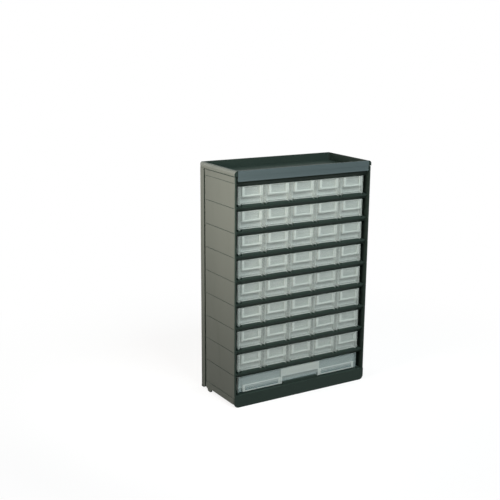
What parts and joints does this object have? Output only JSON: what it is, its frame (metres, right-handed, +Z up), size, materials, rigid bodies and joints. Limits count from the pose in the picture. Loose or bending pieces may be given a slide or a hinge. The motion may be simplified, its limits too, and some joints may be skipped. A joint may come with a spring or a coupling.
{
  "type": "parts bin cabinet",
  "caption": "Parts cabinet of stacked plastic storeys with small clear pull-out drawers over one wide drawer, an open top tray and a closed rear cover.",
  "frame": {"origin": "on the ground under the middle of the cabinet's footprint", "axes": "+Z up, the drawers' fronts face -Y, +X to the right seen from the front"},
  "size_m": [0.305, 0.135, 0.45],
  "materials": {
    "cabinet_plastic": "fine satin moulded plastic, dark green-grey",
    "drawer_clear": "clear moulded plastic, slightly frosted"
  },
  "bodies": {
    "cabinet": {"base": "cabinet_plastic", "row_frame_1": "cabinet_plastic", "row_frame_2": "cabinet_plastic", "row_frame_3": "cabinet_plastic", "row_frame_4": "cabinet_plastic", "row_frame_5": "cabinet_plastic", "row_frame_6": "cabinet_plastic", "row_frame_7": "cabinet_plastic", "row_frame_8": "cabinet_plastic", "top_tray": "cabinet_plastic", "rear_cover": "cabinet_plastic"},
    "large_drawer": {"large_drawer": "drawer_clear"},
    "drawer_r1c1": {"drawer_r1c1": "drawer_clear"},
    "drawer_r1c2": {"drawer_r1c2": "drawer_clear"},
    "drawer_r1c3": {"drawer_r1c3": "drawer_clear"},
    "drawer_r1c4": {"drawer_r1c4": "drawer_clear"},
    "drawer_r1c5": {"drawer_r1c5": "drawer_clear"},
    "drawer_r2c1": {"drawer_r2c1": "drawer_clear"},
    "drawer_r2c2": {"drawer_r2c2": "drawer_clear"},
    "drawer_r2c3": {"drawer_r2c3": "drawer_clear"},
    "drawer_r2c4": {"drawer_r2c4": "drawer_clear"},
    "drawer_r2c5": {"drawer_r2c5": "drawer_clear"},
    "drawer_r3c1": {"drawer_r3c1": "drawer_clear"},
    "drawer_r3c2": {"drawer_r3c2": "drawer_clear"},
    "drawer_r3c3": {"drawer_r3c3": "drawer_clear"},
    "drawer_r3c4": {"drawer_r3c4": "drawer_clear"},
    "drawer_r3c5": {"drawer_r3c5": "drawer_clear"},
    "drawer_r4c1": {"drawer_r4c1": "drawer_clear"},
    "drawer_r4c2": {"drawer_r4c2": "drawer_clear"},
    "drawer_r4c3": {"drawer_r4c3": "drawer_clear"},
    "drawer_r4c4": {"drawer_r4c4": "drawer_clear"},
    "drawer_r4c5": {"drawer_r4c5": "drawer_clear"},
    "drawer_r5c1": {"drawer_r5c1": "drawer_clear"},
    "drawer_r5c2": {"drawer_r5c2": "drawer_clear"},
    "drawer_r5c3": {"drawer_r5c3": "drawer_clear"},
    "drawer_r5c4": {"drawer_r5c4": "drawer_clear"},
    "drawer_r5c5": {"drawer_r5c5": "drawer_clear"},
    "drawer_r6c1": {"drawer_r6c1": "drawer_clear"},
    "drawer_r6c2": {"drawer_r6c2": "drawer_clear"},
    "drawer_r6c3": {"drawer_r6c3": "drawer_clear"},
    "drawer_r6c4": {"drawer_r6c4": "drawer_clear"},
    "drawer_r6c5": {"drawer_r6c5": "drawer_clear"},
    "drawer_r7c1": {"drawer_r7c1": "drawer_clear"},
    "drawer_r7c2": {"drawer_r7c2": "drawer_clear"},
    "drawer_r7c3": {"drawer_r7c3": "drawer_clear"},
    "drawer_r7c4": {"drawer_r7c4": "drawer_clear"},
    "drawer_r7c5": {"drawer_r7c5": "drawer_clear"},
    "drawer_r8c1": {"drawer_r8c1": "drawer_clear"},
    "drawer_r8c2": {"drawer_r8c2": "drawer_clear"},
    "drawer_r8c3": {"drawer_r8c3": "drawer_clear"},
    "drawer_r8c4": {"drawer_r8c4": "drawer_clear"},
    "drawer_r8c5": {"drawer_r8c5": "drawer_clear"}
  },
  "joints": [
    {"name": "slide_large", "type": "slide", "parent": "cabinet", "child": "large_drawer", "axis": [0, -1, 0], "range_m": [0, 0.1]},
    {"name": "slide_r1c1", "type": "slide", "parent": "cabinet", "child": "drawer_r1c1", "axis": [0, -1, 0], "range_m": [0, 0.1]},
    {"name": "slide_r1c2", "type": "slide", "parent": "cabinet", "child": "drawer_r1c2", "axis": [0, -1, 0], "range_m": [0, 0.1]},
    {"name": "slide_r1c3", "type": "slide", "parent": "cabinet", "child": "drawer_r1c3", "axis": [0, -1, 0], "range_m": [0, 0.1]},
    {"name": "slide_r1c4", "type": "slide", "parent": "cabinet", "child": "drawer_r1c4", "axis": [0, -1, 0], "range_m": [0, 0.1]},
    {"name": "slide_r1c5", "type": "slide", "parent": "cabinet", "child": "drawer_r1c5", "axis": [0, -1, 0], "range_m": [0, 0.1]},
    {"name": "slide_r2c1", "type": "slide", "parent": "cabinet", "child": "drawer_r2c1", "axis": [0, -1, 0], "range_m": [0, 0.1]},
    {"name": "slide_r2c2", "type": "slide", "parent": "cabinet", "child": "drawer_r2c2", "axis": [0, -1, 0], "range_m": [0, 0.1]},
    {"name": "slide_r2c3", "type": "slide", "parent": "cabinet", "child": "drawer_r2c3", "axis": [0, -1, 0], "range_m": [0, 0.1]},
    {"name": "slide_r2c4", "type": "slide", "parent": "cabinet", "child": "drawer_r2c4", "axis": [0, -1, 0], "range_m": [0, 0.1]},
    {"name": "slide_r2c5", "type": "slide", "parent": "cabinet", "child": "drawer_r2c5", "axis": [0, -1, 0], "range_m": [0, 0.1]},
    {"name": "slide_r3c1", "type": "slide", "parent": "cabinet", "child": "drawer_r3c1", "axis": [0, -1, 0], "range_m": [0, 0.1]},
    {"name": "slide_r3c2", "type": "slide", "parent": "cabinet", "child": "drawer_r3c2", "axis": [0, -1, 0], "range_m": [0, 0.1]},
    {"name": "slide_r3c3", "type": "slide", "parent": "cabinet", "child": "drawer_r3c3", "axis": [0, -1, 0], "range_m": [0, 0.1]},
    {"name": "slide_r3c4", "type": "slide", "parent": "cabinet", "child": "drawer_r3c4", "axis": [0, -1, 0], "range_m": [0, 0.1]},
    {"name": "slide_r3c5", "type": "slide", "parent": "cabinet", "child": "drawer_r3c5", "axis": [0, -1, 0], "range_m": [0, 0.1]},
    {"name": "slide_r4c1", "type": "slide", "parent": "cabinet", "child": "drawer_r4c1", "axis": [0, -1, 0], "range_m": [0, 0.1]},
    {"name": "slide_r4c2", "type": "slide", "parent": "cabinet", "child": "drawer_r4c2", "axis": [0, -1, 0], "range_m": [0, 0.1]},
    {"name": "slide_r4c3", "type": "slide", "parent": "cabinet", "child": "drawer_r4c3", "axis": [0, -1, 0], "range_m": [0, 0.1]},
    {"name": "slide_r4c4", "type": "slide", "parent": "cabinet", "child": "drawer_r4c4", "axis": [0, -1, 0], "range_m": [0, 0.1]},
    {"name": "slide_r4c5", "type": "slide", "parent": "cabinet", "child": "drawer_r4c5", "axis": [0, -1, 0], "range_m": [0, 0.1]},
    {"name": "slide_r5c1", "type": "slide", "parent": "cabinet", "child": "drawer_r5c1", "axis": [0, -1, 0], "range_m": [0, 0.1]},
    {"name": "slide_r5c2", "type": "slide", "parent": "cabinet", "child": "drawer_r5c2", "axis": [0, -1, 0], "range_m": [0, 0.1]},
    {"name": "slide_r5c3", "type": "slide", "parent": "cabinet", "child": "drawer_r5c3", "axis": [0, -1, 0], "range_m": [0, 0.1]},
    {"name": "slide_r5c4", "type": "slide", "parent": "cabinet", "child": "drawer_r5c4", "axis": [0, -1, 0], "range_m": [0, 0.1]},
    {"name": "slide_r5c5", "type": "slide", "parent": "cabinet", "child": "drawer_r5c5", "axis": [0, -1, 0], "range_m": [0, 0.1]},
    {"name": "slide_r6c1", "type": "slide", "parent": "cabinet", "child": "drawer_r6c1", "axis": [0, -1, 0], "range_m": [0, 0.1]},
    {"name": "slide_r6c2", "type": "slide", "parent": "cabinet", "child": "drawer_r6c2", "axis": [0, -1, 0], "range_m": [0, 0.1]},
    {"name": "slide_r6c3", "type": "slide", "parent": "cabinet", "child": "drawer_r6c3", "axis": [0, -1, 0], "range_m": [0, 0.1]},
    {"name": "slide_r6c4", "type": "slide", "parent": "cabinet", "child": "drawer_r6c4", "axis": [0, -1, 0], "range_m": [0, 0.1]},
    {"name": "slide_r6c5", "type": "slide", "parent": "cabinet", "child": "drawer_r6c5", "axis": [0, -1, 0], "range_m": [0, 0.1]},
    {"name": "slide_r7c1", "type": "slide", "parent": "cabinet", "child": "drawer_r7c1", "axis": [0, -1, 0], "range_m": [0, 0.1]},
    {"name": "slide_r7c2", "type": "slide", "parent": "cabinet", "child": "drawer_r7c2", "axis": [0, -1, 0], "range_m": [0, 0.1]},
    {"name": "slide_r7c3", "type": "slide", "parent": "cabinet", "child": "drawer_r7c3", "axis": [0, -1, 0], "range_m": [0, 0.1]},
    {"name": "slide_r7c4", "type": "slide", "parent": "cabinet", "child": "drawer_r7c4", "axis": [0, -1, 0], "range_m": [0, 0.1]},
    {"name": "slide_r7c5", "type": "slide", "parent": "cabinet", "child": "drawer_r7c5", "axis": [0, -1, 0], "range_m": [0, 0.1]},
    {"name": "slide_r8c1", "type": "slide", "parent": "cabinet", "child": "drawer_r8c1", "axis": [0, -1, 0], "range_m": [0, 0.1]},
    {"name": "slide_r8c2", "type": "slide", "parent": "cabinet", "child": "drawer_r8c2", "axis": [0, -1, 0], "range_m": [0, 0.1]},
    {"name": "slide_r8c3", "type": "slide", "parent": "cabinet", "child": "drawer_r8c3", "axis": [0, -1, 0], "range_m": [0, 0.1]},
    {"name": "slide_r8c4", "type": "slide", "parent": "cabinet", "child": "drawer_r8c4", "axis": [0, -1, 0], "range_m": [0, 0.1]},
    {"name": "slide_r8c5", "type": "slide", "parent": "cabinet", "child": "drawer_r8c5", "axis": [0, -1, 0], "range_m": [0, 0.1]}
  ]
}
